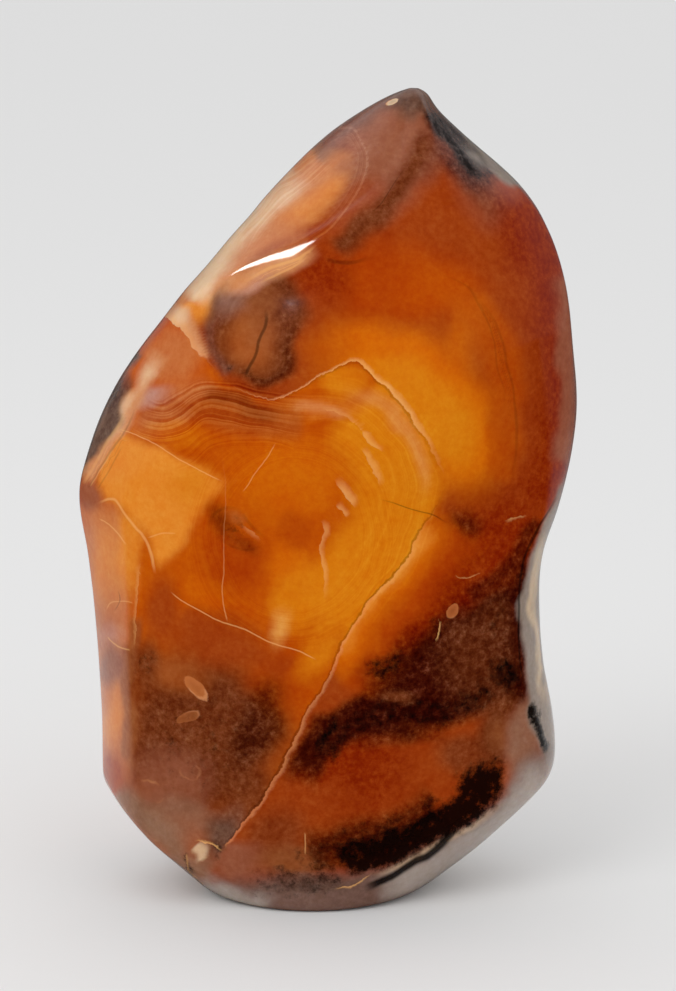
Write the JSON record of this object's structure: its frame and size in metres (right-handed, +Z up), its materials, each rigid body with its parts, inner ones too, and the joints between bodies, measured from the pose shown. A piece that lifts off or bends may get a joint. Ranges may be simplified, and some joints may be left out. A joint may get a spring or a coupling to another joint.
{
  "type": "carnelian flame carving",
  "caption": "Polished freeform flame carved from one piece of banded carnelian, with ridges that wind up to a blunt tip, standing on a small sawn flat.",
  "frame": {"origin": "on the resting flat, under the middle of the stone's width and depth", "axes": "+Z up towards the tip, +X to the right of the broad front, which faces -Y"},
  "size_m": [0.072, 0.0444, 0.1176],
  "materials": {
    "carnelian": "high polish, translucent orange to brown with agate banding"
  },
  "bodies": {
    "root": {"flame": "carnelian"}
  },
  "joints": []
}
